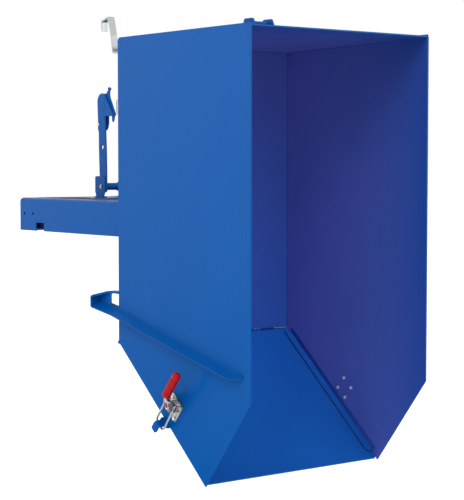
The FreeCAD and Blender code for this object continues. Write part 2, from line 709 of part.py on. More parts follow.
def pocket_straps():
    """Flat bars that close both pockets underneath."""
    width, thick = STRAP
    made = []
    for centre in (-FRAME_LENGTH + 60, -FRAME_LENGTH / 2, -60.0):
        strap = block(-FRAME_OUTER_X + FRAME_SHEET, -FRAME_OUTER_X + POCKET_WIDTH - FRAME_SHEET,
                      centre - width / 2, centre + width / 2, FRAME_BOTTOM, FRAME_BOTTOM + thick)
        made.append(strap)
    return both_sides(group(made))


def lock_housing():
    """Sheet box inside each outer pocket wall, behind the slot and the lock holes."""
    front, rear = -NOTCH_FROM_REAR - NOTCH[0] - 8, -15.0
    low, high = FRAME_BOTTOM + STRAP[1] + 1, FRAME_TOP - LOCK_HOLE_DROP + 16
    near = -FRAME_OUTER_X + FRAME_SHEET
    box = block(near, near + GUARD_DEPTH, front, rear, low, high)
    inside = block(near - 1, near + GUARD_DEPTH - 3, front + 3, rear - 3, low + 3, high - 3)
    return both_sides(box.cut(inside))


def cross_tube(y0, y1, z0, z1, wall):
    """A rectangular tube between the pockets."""
    reach = FRAME_OUTER_X - POCKET_WIDTH
    tube = rounded(block(-reach, reach, y0, y1, z0, z1), V(1, 0, 0), 6.0, 100.0)
    bore = rounded(block(-reach - 1, reach + 1, y0 + wall, y1 - wall, z0 + wall, z1 - wall),
                   V(1, 0, 0), 2.5, 100.0)
    return tube.cut(bore)


def rear_cross_member():
    """Folded channel across the rear of the frame, open downward."""
    reach = FRAME_OUTER_X - POCKET_WIDTH
    outer = rounded(block(-reach, reach, -60, -6, FRAME_BOTTOM + 12, FRAME_TOP), V(1, 0, 0), 8.0, 100.0)
    lower = block(-reach - 1, reach + 1, -55, -11, FRAME_BOTTOM, 0)
    return outer.cut(lower).Solids[0]


def latch_deck():
    """The plate between the pockets that carries the latch."""
    reach = FRAME_OUTER_X - POCKET_WIDTH
    plate = block(-reach, reach, behind(690), behind(880), FRAME_TOP - 8, FRAME_TOP - 1)
    apron = block(-reach, reach, behind(690), behind(698), FRAME_TOP - 70, FRAME_TOP - 8)
    return fuse([plate, apron])


def pivot_shaft():
    """The shaft through both pockets' inner walls and the floor's ears."""
    reach = FRAME_OUTER_X - POCKET_WIDTH + FRAME_SHEET
    return rod_x(-reach, reach, PIVOT.y, PIVOT.z, PIVOT_R - 0.02)


def shaft_collars():
    """Collars that keep the shaft in place, outside each ear."""
    collar = Part.makeCylinder(16.0, 5.0, V(EAR_X - 6.0, PIVOT.y, PIVOT.z), V(1, 0, 0))
    bore = Part.makeCylinder(PIVOT_R, 9.0, V(EAR_X - 8.0, PIVOT.y, PIVOT.z), V(1, 0, 0))
    collar = collar.makeChamfer(1.0, [e for e in collar.Edges if len(e.Vertexes) == 1])
    return both_sides(collar.cut(bore))


# ---------------------------------------------------------------- latch
def latch_bracket():
    """Two upright cheeks on their feet; the left one carries the stop screw's plate."""
    outline = [(behind(756), above(4)), (behind(744), above(24)), (behind(744), above(89)),
               (behind(750), above(94)), (behind(816), above(94)), (behind(822), above(89)),
               (behind(822), above(24)), (behind(810), above(4))]
    left, right = BRACKET_X
    y, z = LATCH_PIVOT.y, LATCH_PIVOT.z
    bore = rod_x(left - 1, right + 1, y, z, LATCH_BOLT_R)
    left_foot = block(-17, 8, behind(752), behind(822), FRAME_TOP - 1, FRAME_TOP + 5)
    stop_plate = block(-8, 8, behind(816), behind(822), above(4), above(68))
    right_foot = block(104, 124, behind(752), behind(822), FRAME_TOP - 1, FRAME_TOP + 5)
    near = fuse([rounded(left_foot, V(0, 0, 1), 5.0), prism_x(outline, left, left + 5), stop_plate])
    far = fuse([rounded(right_foot, V(0, 0, 1), 5.0), prism_x(outline, right - 5, right)])
    screw = rod(V(0, behind(814), z - STOP_DROP), V(0, behind(824), z - STOP_DROP), 4.0)
    return group([cut(near, [bore, screw]), far.cut(bore)])


def latch_pivot_pin():
    """The headed pin through both cheeks, with a washer at its free end."""
    y, z = LATCH_PIVOT.y, LATCH_PIVOT.z
    left, right = BRACKET_X
    shank = rod_x(left - 6, right + 1, y, z, LATCH_BOLT_R - 0.02)
    washer = rod_x(left - 1.6, left, y, z, 10.0)
    head = rod_x(right, right + 5, y, z, 9.5)
    return fuse([shank, washer, head])


def latch_stop_screw():
    """The screw in the bracket's plate that sets the post's backward position."""
    z = LATCH_PIVOT.z - STOP_DROP
    shank = rod(V(0, behind(STOP_TIP), z), V(0, behind(830), z), 3.98)
    nut = hex_head(V(0, behind(822), z), V(0, 1, 0), 13.0, 5.0)
    return fuse([shank, nut])


def latch_spring():
    """Torsion spring round the pivot tube."""
    turns, pitch, wire = 4, 5.6, 2.2
    radius = 16.0 + wire + 0.8
    helix = Part.makeHelix(pitch, turns * pitch, radius)
    spine = Part.Wire(helix.Edges)
    start = helix.Edges[0].Vertexes[0].Point
    circle = Part.Wire(Part.makeCircle(wire, start, V(0, 1, 0)))
    coil = spine.makePipeShell([circle], True, True)
    coil.Placement = FreeCAD.Placement(V(SPRING_X, LATCH_PIVOT.y, LATCH_PIVOT.z),
                                       FreeCAD.Rotation(V(0, 0, 1), V(1, 0, 0)))
    return coil


def head_outline():
    """The latch head's domed top, slanted nose and square step, front side last."""
    return [at(813, 228), at(814, 214), at(812, 201), at(806, 190), at(797, 182), at(786, 177),
            at(775, 176), at(764, 179), at(756, 185), at(746, 196), at(726, 222), at(706, 250),
            at(693, 271), at(694, 277), at(720, 278)]


def head_holes(x0, x1):
    """The bolt and pin holes of the latch head."""
    return [rod_at(x0, x1, HEAD_BOLT, HEAD_BOLT_R), rod_at(x0, x1, PAWL_PIN, PAWL_PIN_R)]


def latch_post():
    """The tall plate of the latch: foot, waist and head in one."""
    rear = [at(788, 615), at(794, 608), at(799, 517), at(803, 428), at(804, 345), at(810, 335),
            at(810, 296)]
    front = [at(754, 278), at(753, 304), at(747, 428), at(745, 517), at(744, 608), at(750, 615)]
    half = POST_THICK / 2
    plate = prism_x(rear + head_outline() + front, -half, half)
    pivot_hole = rod_x(-half - 1, half + 1, LATCH_PIVOT.y, LATCH_PIVOT.z, LATCH_BOLT_R + RUNNING)
    sight_hole = rod_at(-half - 1, half + 1, POST_HOLE, POST_HOLE_R)
    return cut(plate, [pivot_hole, sight_hole] + head_holes(-half - 1, half + 1))


def latch_cheek():
    """The second plate of the latch head, beyond the pawl."""
    tail = [at(750, 278), at(750, 312), at(758, 330), at(766, 340), at(785, 340), at(806, 335),
            at(810, 300)]
    near, far = CHEEK_X
    return cut(prism_x(head_outline() + tail, near, far), head_holes(near - 1, far + 1))


def latch_spacer():
    """The block that keeps both head plates apart."""
    near, far = POST_THICK / 2, CHEEK_X[0]
    y0, z1 = at(768, 215)
    y1, z0 = at(806, 330)
    return block(near, far, y0, y1, z0, z1).cut(rod_at(near - 1, far + 1, HEAD_BOLT, HEAD_BOLT_R))


def latch_head_bolt():
    """The bolt that clamps the head plates and their spacer."""
    y, z = at(*HEAD_BOLT)
    near, far = -POST_THICK / 2, CHEEK_X[1]
    shank = rod_x(near, far + 7, y, z, HEAD_BOLT_R - 0.02)
    head = hex_head(V(near, y, z), V(-1, 0, 0), 13.0, 5.3)
    nut = hex_head(V(far, y, z), V(1, 0, 0), 13.0, 6.5)
    return fuse([shank, head, nut])


def latch_pivot_tube():
    """The tube welded to the post, turning on the pivot pin."""
    y, z = LATCH_PIVOT.y, LATCH_PIVOT.z
    tube = rod_x(POST_THICK / 2, BRACKET_X[1] - 5.5, y, z, 16.0)
    return tube.cut(rod_x(0, BRACKET_X[1], y, z, LATCH_BOLT_R + RUNNING))


def pawl_pin():
    """The pin that the pawl hangs on, ground flush with the head plates."""
    return rod_at(-POST_THICK / 2, CHEEK_X[1], PAWL_PIN, PAWL_PIN_R - 0.02)


def smooth_curve(x, places):
    """A smooth curve through (distance, drop) places."""
    curve = Part.BSplineCurve()
    curve.interpolate([V(x, *at(*place)) for place in places])
    return curve.toShape()


def latch_pawl():
    """The hanging pawl: rope eye above, curved nose below."""
    front = [(731, 163), (733, 185), (716, 220), (698, 256), (695, 278), (700, 296), (705, 304)]
    back = [(709, 291), (710, 280), (722, 262), (740, 240), (758, 218), (762, 200), (755, 180), (739, 163)]
    near, far = PAWL_X
    tip = Part.makeLine(V(near, *at(*front[-1])), V(near, *at(*back[0])))
    crown = Part.makeLine(V(near, *at(*back[-1])), V(near, *at(*front[0])))
    wire = Part.Wire([smooth_curve(near, front), tip, smooth_curve(near, back), crown])
    body = Part.Face(wire).extrude(V(far - near, 0, 0))
    eye = rod_at(near, far, ROPE_EYE, 2 * ROPE_EYE_R - 1)
    return cut(fuse([body, eye]), [rod_at(near - 1, far + 1, ROPE_EYE, ROPE_EYE_R),
                                   rod_at(near - 1, far + 1, PAWL_PIN, PAWL_PIN_R + RUNNING)])


# ---------------------------------------------------------------- rope hook
def rope_hook():
    """Bent flat-bar hook behind the floor's upper left corner."""
    x0, x1 = ROPE_HOOK_X
    outline = [at(-2, 112), at(-2, 57), at(44, 53), at(47, 49), at(58, -14), at(76, -82), at(79, -87),
               at(127, -76), at(131.5, -71), at(127.5, -32), at(122.5, -32), at(125.5, -69), at(84, -80),
               at(63, -14), at(52, 52), at(48, 58), at(3, 62), at(3, 112)]
    middle = (x0 + x1) / 2
    y, z = at(-10, ROPE_HOOK_BOLT_DROP)
    return prism_x(outline, x0, x1).cut(rod(V(middle, y, z), V(middle, y + 20, z), 5.02))


def rope_hook_bolt():
    """The bolt that holds the rope hook."""
    x = sum(ROPE_HOOK_X) / 2
    y, z = at(3, ROPE_HOOK_BOLT_DROP)
    shank = rod(V(x, y - 5, z), V(x, y + 1, z), 5.0)
    return fuse([shank, hex_head(V(x, y, z), V(0, 1, 0), 16.0, 6.4)])


# ---------------------------------------------------------------- all nodes
def build():
    """Make every node."""
    wall = side_wall()
    nodes = {
        "side_wall_left": wall,
        "side_wall_right": mirrored(wall),
        "floor_panel": floor_panel(),
        "rear_panel": rear_panel(),
        "rim_strips": both_sides(rim_strip()),
        "catch_lugs": catch_lugs(),
        "catch_bar": catch_bar(),
        "hinge_ears": hinge_ears(),
        "floor_knuckles": floor_knuckles(),
        "flap_hinge_rod": hinge_rod(),
        "seal_studs": seal_studs(),
        "rope_hook": rope_hook(),
        "rope_hook_bolt": rope_hook_bolt(),
        "clamp_bolts": clamp_bolts(),
        "clamp_pivot_pins": clamp_pivot_pins(),
        "flap_panel": flap_panel(),
        "flap_lip": flap_lip(),
        "flap_knuckles": flap_knuckles(),
        "pocket_straps": pocket_straps(),
        "lock_housings": lock_housing(),
        "rear_cross_member": rear_cross_member(),
        "front_cross_member": cross_tube(behind(60), behind(120), FRAME_TOP - 90, FRAME_TOP - 30, 4.0),
        "latch_deck": latch_deck(),
        "pivot_shaft": pivot_shaft(),
        "shaft_collars": shaft_collars(),
        "latch_bracket": latch_bracket(),
        "latch_pivot_pin": latch_pivot_pin(),
        "latch_stop_screw": latch_stop_screw(),
        "latch_spring": latch_spring(),
        "latch_post": latch_post(),
        "latch_pivot_tube": latch_pivot_tube(),
        "latch_cheek": latch_cheek(),
        "latch_spacer": latch_spacer(),
        "latch_head_bolt": latch_head_bolt(),
        "pawl_pin": pawl_pin(),
        "latch_pawl": latch_pawl(),
    }
    paired = {
        "fork_pocket": fork_pocket(),
        "rib": rib(),
        "leg": leg(),
        "seal_angle": seal_angle(),
        "seal_rubber": seal_rubber(),
        "flap_hook": flap_hook(),
        "clamp_base": clamp_base(),
        "clamp_handle": clamp_handle(),
        "clamp_grip": clamp_grip(),
        "clamp_lock_tab": clamp_lock_tab(),
        "clamp_trunnion": clamp_trunnion(),
        "clamp_bail": clamp_bail(),
    }
    for name, shape in paired.items():
        nodes[name + "_left"] = shape
        nodes[name + "_right"] = mirrored(shape)
    return nodes


os.makedirs("parts", exist_ok=True)
for node, shape in build().items():
    print(node, len(shape.Solids), round(shape.Volume / 1000, 1), shape.isValid())
    shape.exportStep(os.path.join("parts", node + ".step"))
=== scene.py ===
"""Looks for the self-tipping forklift container: paint, zinc, welds, threads and small fittings."""
import bpy
import bmesh
import json
import math
import random
from mathutils import Matrix, Vector


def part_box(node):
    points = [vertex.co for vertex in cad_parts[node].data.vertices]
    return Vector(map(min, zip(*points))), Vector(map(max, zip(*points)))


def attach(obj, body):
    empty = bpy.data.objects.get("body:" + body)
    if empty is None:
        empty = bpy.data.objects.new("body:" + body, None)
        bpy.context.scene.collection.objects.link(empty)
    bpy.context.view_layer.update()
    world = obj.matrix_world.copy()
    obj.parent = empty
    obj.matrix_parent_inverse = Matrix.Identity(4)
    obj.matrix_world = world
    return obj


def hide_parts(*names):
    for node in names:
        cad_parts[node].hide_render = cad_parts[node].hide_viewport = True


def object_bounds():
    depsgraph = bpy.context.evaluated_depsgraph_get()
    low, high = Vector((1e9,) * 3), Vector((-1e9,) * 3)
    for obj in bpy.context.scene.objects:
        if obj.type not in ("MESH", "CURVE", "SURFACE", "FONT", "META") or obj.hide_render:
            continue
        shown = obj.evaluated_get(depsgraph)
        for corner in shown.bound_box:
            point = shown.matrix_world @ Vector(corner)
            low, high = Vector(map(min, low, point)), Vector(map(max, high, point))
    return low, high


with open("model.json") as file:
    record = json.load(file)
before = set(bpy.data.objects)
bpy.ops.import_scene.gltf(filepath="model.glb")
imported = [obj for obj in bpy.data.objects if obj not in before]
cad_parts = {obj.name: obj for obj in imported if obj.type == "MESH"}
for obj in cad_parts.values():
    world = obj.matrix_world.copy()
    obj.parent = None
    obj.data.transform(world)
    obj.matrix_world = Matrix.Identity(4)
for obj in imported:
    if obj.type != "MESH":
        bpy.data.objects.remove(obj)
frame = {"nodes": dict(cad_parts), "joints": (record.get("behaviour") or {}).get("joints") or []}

CAD_LOW, CAD_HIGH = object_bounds()
random.seed(11)
scene = bpy.context.scene

# ---------------------------------------------------------------- places read from the frame
JOINTS = {joint["name"]: joint for joint in frame["joints"]}
FLAP_HINGE = Vector(JOINTS["flap_swing"]["pos_m"])
LATCH = Vector(JOINTS["latch_swing"]["pos_m"])


def corners(node):
    """Lowest and highest corner of a CAD node."""
    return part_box(node)


WALL_LOW, WALL_HIGH = corners("side_wall_left")
RIGHT_HIGH = corners("side_wall_right")[1]
FLOOR_LOW, FLOOR_HIGH = corners("floor_panel")
REAR_LOW, REAR_HIGH = corners("rear_panel")
POCKET_LOW, POCKET_HIGH = corners("fork_pocket_left")
LUGS_LOW, LUGS_HIGH = corners("catch_lugs")
BRACKET_LOW, BRACKET_HIGH = corners("latch_bracket")


# ---------------------------------------------------------------- node materials
class Nodes:
    """Short way to write a node tree."""

    def __init__(self, name):
        self.material = bpy.data.materials.new(name)
        self.material.use_nodes = True
        self.tree = self.material.node_tree
        self.tree.nodes.clear()
        self.output = self.tree.nodes.new("ShaderNodeOutputMaterial")
        self.shader = self.tree.nodes.new("ShaderNodeBsdfPrincipled")
        self.tree.links.new(self.shader.outputs[0], self.output.inputs[0])
        self.place = self.tree.nodes.new("ShaderNodeTexCoord").outputs["Object"]

    def link(self, source, target):
        """Join two sockets."""
        self.tree.links.new(source, target)

    def set(self, socket, value):
        """Feed a shader input with a number, a colour or another socket."""
        target = self.shader.inputs[socket]
        if isinstance(value, bpy.types.NodeSocket):
            self.link(value, target)
        else:
            target.default_value = value

    def noise(self, scale, detail=3.0, rough=0.5, stretch=None):
        """Cloudy numbers between nought and one."""
        node = self.tree.nodes.new("ShaderNodeTexNoise")
        node.inputs["Scale"].default_value = scale
        node.inputs["Detail"].default_value = detail
        node.inputs["Roughness"].default_value = rough
        source = self.place
        if stretch:
            mapping = self.tree.nodes.new("ShaderNodeMapping")
            mapping.inputs["Scale"].default_value = stretch
            self.link(source, mapping.inputs["Vector"])
            source = mapping.outputs[0]
        self.link(source, node.inputs["Vector"])
        return node.outputs["Fac"]

    def ramp(self, source, low, high, start, end):
        """Numbers from start to end while the source goes from low to high."""
        node = self.tree.nodes.new("ShaderNodeMapRange")
        node.clamp = True
        for socket, value in zip(("From Min", "From Max", "To Min", "To Max"), (low, high, start, end)):
            node.inputs[socket].default_value = value
        self.link(source, node.inputs["Value"])
        return node.outputs["Result"]

    def mix(self, share, first, second):
        """A colour between two."""
        node = self.tree.nodes.new("ShaderNodeMix")
        node.data_type = "RGBA"
        for socket, value in ((node.inputs[0], share), (node.inputs[6], first), (node.inputs[7], second)):
            if isinstance(value, bpy.types.NodeSocket):
                self.link(value, socket)
            else:
                socket.default_value = value
        return node.outputs[2]

    def sum(self, first, second, operation="ADD"):
        """Two numbers added, or put together by another operation."""
        node = self.tree.nodes.new("ShaderNodeMath")
        node.operation = operation
        for socket, value in zip(node.inputs, (first, second)):
            if isinstance(value, bpy.types.NodeSocket):
                self.link(value, socket)
            else:
                socket.default_value = value
        return node.outputs[0]

    def axis(self, index):
        """One coordinate of the place on the object."""
        node = self.tree.nodes.new("ShaderNodeSeparateXYZ")
        self.link(self.place, node.inputs[0])
        return node.outputs[index]

    def worn_and_highlit_edges(self, radius):
        """One near sharp edges, nothing on flat sheet."""
        bevel = self.tree.nodes.new("ShaderNodeBevel")
        bevel.samples = 4
        bevel.inputs["Radius"].default_value = radius
        geometry = self.tree.nodes.new("ShaderNodeNewGeometry")
        dot = self.tree.nodes.new("ShaderNodeVectorMath")
        dot.operation = "DOT_PRODUCT"
        self.link(bevel.outputs[0], dot.inputs[0])
        self.link(geometry.outputs["Normal"], dot.inputs[1])
        return self.ramp(dot.outputs["Value"], 0.97, 0.72, 0.0, 1.0)

    def inside(self, centre):
        """One on faces that look towards the middle of the container, nothing elsewhere."""
        toward = self.tree.nodes.new("ShaderNodeVectorMath")
        toward.operation = "SUBTRACT"
        toward.inputs[0].default_value = centre
        self.link(self.place, toward.inputs[1])
        dot = self.tree.nodes.new("ShaderNodeVectorMath")
        dot.operation = "DOT_PRODUCT"
        self.link(toward.outputs[0], dot.inputs[0])
        self.link(self.tree.nodes.new("ShaderNodeTexCoord").outputs["Normal"], dot.inputs[1])
        return self.ramp(dot.outputs["Value"], 0.0, 0.02, 0.0, 1.0)

    def across(self):
        """One on faces square to the container's width, nothing on the others."""
        parts = self.tree.nodes.new("ShaderNodeSeparateXYZ")
        self.link(self.tree.nodes.new("ShaderNodeTexCoord").outputs["Normal"], parts.inputs[0])
        size = self.tree.nodes.new("ShaderNodeMath")
        size.operation = "ABSOLUTE"
        self.link(parts.outputs[0], size.inputs[0])
        return self.ramp(size.outputs[0], 0.4, 0.6, 0.0, 1.0)

    def bump(self, height, strength, distance, under=None):
        """A normal roughened by a height, on top of another one if given."""
        node = self.tree.nodes.new("ShaderNodeBump")
        node.inputs["Strength"].default_value = strength
        node.inputs["Distance"].default_value = distance
        self.link(height, node.inputs["Height"])
        if under:
            self.link(under, node.inputs["Normal"])
        return node.outputs[0]


def paint(name, tone, inner_shade=None, gloss=0.34, wall_leg_shade=None, foot_painted_reflection=None):
    """Sprayed paint over steel sheet, with orange peel, faint dust, rubbed edges that also carry a
    painted highlight, and painted shade and painted reflection on faces inside the container.
    """
    made = Nodes(name)
    cloud = made.noise(2.6, 3.0)
    peel = made.noise(540.0, 2.0, 0.45)
    smear = made.noise(9.0, 4.0, 0.55)
    speck = made.noise(260.0, 3.0, 0.7)
    base = tone
    # Painted shade: faces inside the container take indigo tones graded from the opening end to the floor
    # end.
    if inner_shade:
        depth = made.ramp(made.axis(1), WALL_LOW.y, WALL_HIGH.y, 0.0, 1.0)
        inner_painted_shade = made.mix(depth, *inner_shade)
        # Painted shade: faces square to the width, the seal angle's leg along the wall, take a darker
        # tone.
        if wall_leg_shade:
            inner_painted_shade = made.mix(made.across(), inner_painted_shade, wall_leg_shade)
        # Painted reflection: inside faces grow paler and bluer towards the bottom, standing in for light
        # thrown back from the flap.
        if foot_painted_reflection:
            height = made.ramp(made.axis(2), WALL_LOW.z, WALL_HIGH.z, 1.0, 0.0)
            inner_painted_shade = made.mix(height, inner_painted_shade, foot_painted_reflection)
        base = made.mix(made.inside(CENTRE), tone, inner_painted_shade)
    shade = made.mix(made.ramp(cloud, 0.3, 0.7, 0.0, 0.16), base, PAINT_SHADE)
    dusty = made.mix(made.ramp(speck, 0.66, 0.80, 0.0, 0.12), shade, PAINT_DUST)
    # Rubbed paint and painted highlight: sharp edges lighten in patches towards a paler blue.
    edge = made.sum(made.worn_and_highlit_edges(0.0014), made.ramp(smear, 0.35, 0.65, 0.10, 0.55), "MULTIPLY")
    made.set("Base Color", made.mix(edge, dusty, PAINT_EDGE_WEAR_AND_HIGHLIGHT))
    made.set("Roughness", made.sum(made.ramp(smear, 0.3, 0.7, gloss - 0.03, gloss + 0.05),
                                   made.ramp(speck, 0.6, 0.8, 0.0, 0.08)))
    made.set("Specular IOR Level", made.ramp(made.axis(2), WALL_LOW.z, WALL_HIGH.z, 0.0, 0.13))
    made.set("Coat Weight", 0.04)
    made.set("Coat Roughness", 0.15)
    made.set("Normal", made.bump(peel, 0.08, 0.0004))
    return made.material


def zinc(name, tone, rough, warm=(0.74, 0.68, 0.52, 1.0), metal=1.0):
    """Bright zinc plating with rolled streaks and a passivated tint."""
    made = Nodes(name)
    streak = made.noise(70.0, 5.0, 0.65, (1.0, 1.0, 0.15))
    patch = made.noise(38.0, 3.0)
    grain = made.noise(900.0, 2.0, 0.6)
    base = made.mix(made.ramp(patch, 0.35, 0.75, 0.0, 0.45), tone, warm)
    # Rubbed plating and painted highlight: sharp edges lighten towards near white.
    edge = made.worn_and_highlit_edges(0.0008)
    made.set("Base Color", made.mix(edge, base, (0.86, 0.86, 0.84, 1.0)))
    made.set("Metallic", metal)
    made.set("Roughness", made.ramp(streak, 0.25, 0.75, rough - 0.09, rough + 0.14))
    made.set("Normal", made.bump(grain, 0.16, 0.0003, made.bump(streak, 0.10, 0.0006)))
    return made.material


def moulded(name, deep, light, rough):
    """Dipped or moulded plastic."""
    made = Nodes(name)
    cloud = made.noise(60.0, 3.0)
    skin = made.noise(1500.0, 2.0)
    made.set("Base Color", made.mix(made.ramp(cloud, 0.3, 0.7, 0.0, 1.0), deep, light))
    made.set("Roughness", made.ramp(cloud, 0.3, 0.7, rough - 0.05, rough + 0.10))
    made.set("Specular IOR Level", 0.12)
    made.set("Normal", made.bump(skin, 0.12, 0.0003))
    return made.material


def grit(name):
    """Dark abrasive sheet with coarse grains of several shades."""
    made = Nodes(name)
    coarse = made.noise(150.0, 4.0, 0.7)
    fine = made.noise(700.0, 3.0, 0.7)
    base = made.mix(made.ramp(coarse, 0.42, 0.62, 0.0, 1.0), GRIT_DARK, GRIT_MID)
    made.set("Base Color", made.mix(made.ramp(fine, 0.60, 0.70, 0.0, 0.6), base, GRIT_GRAIN))
    made.set("Roughness", 0.9)
    made.set("Normal", made.bump(fine, 0.6, 0.0008))
    return made.material


CENTRE = (WALL_LOW + RIGHT_HIGH) / 2
PAINT_SHADE = (0.0, 0.065, 0.26, 1.0)
PAINT_DUST = (0.10, 0.17, 0.36, 1.0)
# Paler blue for rubbed edges, which also stands in for the highlight along them.
PAINT_EDGE_WEAR_AND_HIGHLIGHT = (0.03, 0.16, 0.46, 1.0)
GRIT_DARK = (0.010, 0.014, 0.030, 1.0)
GRIT_MID = (0.055, 0.058, 0.070, 1.0)
GRIT_GRAIN = (0.34, 0.33, 0.29, 1.0)
OUTSIDE = (0.0, 0.073, 0.295, 1.0)
# Painted shade: indigo tones for the shell's inside faces, dark at the opening end and paler towards the
# floor.
INDIGO_PAINTED_SHADE = ((0.015, 0.051, 0.258, 1.0), (0.140, 0.162, 0.57, 1.0))
# Painted shade: tones for the flap's inside face, dark at the opening end and paler towards the floor.
FLAP_INSIDE_PAINTED_SHADE = ((0.0, 0.030, 0.19, 1.0), (0.025, 0.220, 0.84, 1.0))
BLUE = paint("blue_paint", OUTSIDE)
SHELL_BLUE = paint("shell_paint", OUTSIDE, INDIGO_PAINTED_SHADE)
FLAP_BLUE = paint("flap_paint", OUTSIDE, FLAP_INSIDE_PAINTED_SHADE)
# Painted shade: the seal angle's leg along the wall is darker blue.
ANGLE_BLUE = paint("angle_paint", OUTSIDE, FLAP_INSIDE_PAINTED_SHADE, 0.34, (0.030, 0.060, 0.32, 1.0))
# Painted reflection: the floor panel's inside is paler towards the bottom.
FLOOR_BLUE = paint("floor_paint", OUTSIDE, (INDIGO_PAINTED_SHADE[0], (0.070, 0.086, 0.37, 1.0)),
                   foot_painted_reflection=(0.030, 0.136, 0.60, 1.0))
WELD_BLUE = paint("weld_paint", (0.002, 0.080, 0.33, 1.0), None, 0.38)
HOUSING_BLUE = paint("housing_paint", (0.020, 0.020, 0.13, 1.0))
GRIT = grit("antislip_grit")
ZINC = zinc("zinc_plate", (0.40, 0.40, 0.39, 1.0), 0.22, (0.34, 0.31, 0.24, 1.0))
# Painted glint: a lighter, less metallic copy of the zinc, so small nuts and bolt heads look as if they
# catch the light.
ZINC_PAINTED_GLINT = zinc("zinc_painted_glint", (0.72, 0.73, 0.74, 1.0), 0.24, (0.60, 0.57, 0.48, 1.0), 0.60)
STRAP = zinc("zinc_strap", (0.50, 0.53, 0.54, 1.0), 0.30, (0.44, 0.45, 0.44, 1.0))
SPRING = zinc("spring_wire", (0.16, 0.15, 0.14, 1.0), 0.38, (0.22, 0.17, 0.12, 1.0))
RED = moulded("red_plastic", (0.30, 0.002, 0.003, 1.0), (0.40, 0.004, 0.005, 1.0), 0.32)
RUBBER = moulded("seal_rubber", (0.020, 0.030, 0.140, 1.0), (0.032, 0.045, 0.190, 1.0), 0.65)

SHELL = ("side_wall_left", "side_wall_right", "rear_panel")
ZINC_NODES = ("clamp_", "flap_hinge_rod", "pivot_shaft", "latch_pivot_pin", "latch_stop_screw",
              "latch_head_bolt")
ROUNDED = {"side_wall": 0.0010, "rim_strips": 0.0008, "latch_post": 0.0010,
           "latch_cheek": 0.0009, "latch_bracket": 0.0008, "catch_lugs": 0.0009, "leg": 0.0010,
           "rib": 0.0010, "rope_hook": 0.0008, "flap_hook": 0.0009, "clamp_base": 0.0006,
           "clamp_handle": 0.0005, "latch_deck": 0.0008, "hinge_ears": 0.0008, "flap_lip": 0.0006,
           "rear_cross_member": 0.0006, "latch_spacer": 0.0005}


def round_edges(node, width):
    """Broken edges on a CAD node, made with modifiers only."""
    weld = node.modifiers.new("weld", "WELD")
    weld.merge_threshold = 0.00001
    bevel = node.modifiers.new("bevel", "BEVEL")
    bevel.width = width
    bevel.segments = 2
    bevel.limit_method = "ANGLE"
    bevel.angle_limit = math.radians(38)


for name, node in frame["nodes"].items():
    look = BLUE
    if name in SHELL:
        look = SHELL_BLUE
    elif name == "floor_panel":
        look = FLOOR_BLUE
    elif name.startswith("seal_angle"):
        look = ANGLE_BLUE
    elif name == "lock_housings":
        look = HOUSING_BLUE
    elif name == "flap_panel":
        look = FLAP_BLUE
    elif name.startswith(("clamp_grip", "clamp_lock_tab")):
        look = RED
    elif name.startswith("seal_rubber"):
        look = RUBBER
    elif name == "latch_spring":
        look = SPRING
    elif name in ("rope_hook", "rope_hook_bolt"):
        look = STRAP
    # Nuts and the head bolt take the lightened zinc, a painted glint.
    elif name in ("clamp_bolts", "latch_head_bolt"):
        look = ZINC_PAINTED_GLINT
    elif name.startswith(ZINC_NODES):
        look = ZINC
    node.data.materials.clear()
    node.data.materials.append(look)
    for prefix, width in ROUNDED.items():
        if name == prefix or name in (prefix + "_left", prefix + "_right"):
            round_edges(node, width)

# ---------------------------------------------------------------- pieces made here
MM = 0.001


def add_piece(name, maker, look, body, smooth=True):
    """A finished mesh that rides a body and takes its finish from a slot."""
    bmesh.ops.recalc_face_normals(maker, faces=maker.faces)
    mesh = bpy.data.meshes.new(name)
    maker.to_mesh(mesh)
    maker.free()
    if smooth:
        mesh.polygons.foreach_set("use_smooth", [True] * len(mesh.polygons))
    made = bpy.data.objects.new(name, mesh)
    made.data.materials.append(look)
    scene.collection.objects.link(made)
    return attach(made, body)


def cross_axes(axis):
    """Two directions square to an axis."""
    guide = Vector((0, 0, 1)) if abs(axis.z) < 0.9 else Vector((0, 1, 0))
    first = axis.cross(guide).normalized()
    return first, axis.cross(first).normalized()


def skin(maker, rings):
    """Walls between neighbouring rings of vertices, with both ends closed."""
    for near, far in zip(rings, rings[1:]):
        for k in range(len(near)):
            after = (k + 1) % len(near)
            maker.faces.new((near[k], near[after], far[after], far[k]))
    maker.faces.new(rings[0])
    maker.faces.new(rings[-1])


def ring(maker, centre, first, second, radius, count):
    """One loop of vertices round a centre."""
    turns = [2 * math.pi * k / count for k in range(count)]
    return [maker.verts.new(centre + first * radius * math.cos(a) + second * radius * math.sin(a))
            for a in turns]


def lathe(maker, origin, axis, profile, count=24):
    """A turned shape; the profile lists (distance along the axis, radius) in mm."""
    first, second = cross_axes(axis)
    skin(maker, [ring(maker, origin + axis * along * MM, first, second, radius * MM, count)
                 for along, radius in profile])


def wire(maker, points, radius, count=8):
    """A bent wire of even thickness through the points."""
    rings = []
    for k, point in enumerate(points):
        ahead = points[min(k + 1, len(points) - 1)]
        back = points[max(k - 1, 0)]
        first, second = cross_axes((ahead - back).normalized())
        rings.append(ring(maker, point, first, second, radius, count))
    skin(maker, rings)


def bead(maker, start, end, radius):
    """A weld bead with overlapping ripples between two points."""
    axis = (end - start).normalized()
    first, second = cross_axes(axis)
    steps = max(6, int((end - start).length / RIPPLE))
    rings = [ring(maker, start, first, second, radius * 0.35, 8)]
    for k in range(1, steps):
        swell = 0.86 + 0.14 * abs(math.sin(math.pi * k / 3)) + random.uniform(-0.05, 0.05)
        centre = start + axis * (end - start).length * k / steps
        rings.append(ring(maker, centre, first, second, radius * swell, 8))
    rings.append(ring(maker, end, first, second, radius * 0.35, 8))
    skin(maker, rings)


